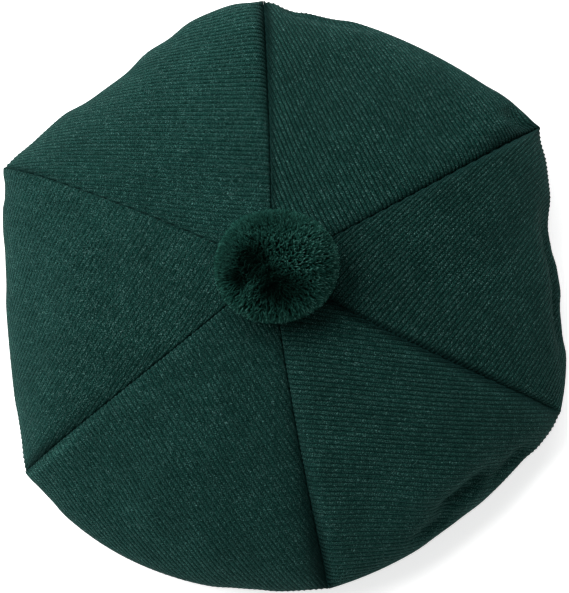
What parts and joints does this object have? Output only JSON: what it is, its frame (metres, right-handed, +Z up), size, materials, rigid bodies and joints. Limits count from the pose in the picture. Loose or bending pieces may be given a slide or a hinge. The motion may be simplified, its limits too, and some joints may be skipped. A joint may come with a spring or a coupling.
{
  "type": "knitted tam o'shanter",
  "caption": "Knitted tam o'shanter with a wide soft crown of sewn gores, a ribbed headband open below for the head, and a yarn pompom on top.",
  "frame": {"origin": "on the floor that the headband rests on, under the middle of the crown's outline", "axes": "+Z up through the crown to the pompom, +Y to the rear of the crown, +X to the wearer's right as seen in the picture's upright view"},
  "size_m": [0.2821, 0.297, 0.1223],
  "materials": {
    "crown_wool": "dark bottle-green fine rib knit, matt with a faint fuzz",
    "band_wool": "dark bottle-green doubled rib knit, matt",
    "pompom_yarn": "dense cut wool yarn, dark bottle green, matt"
  },
  "bodies": {
    "root": {"crown_panel_rear_right": "crown_wool", "crown_panel_rear_left": "crown_wool", "crown_panel_left": "crown_wool", "crown_panel_front_left": "crown_wool", "crown_panel_front_right": "crown_wool", "crown_panel_right": "crown_wool", "headband": "band_wool", "pompom": "pompom_yarn"}
  },
  "joints": []
}
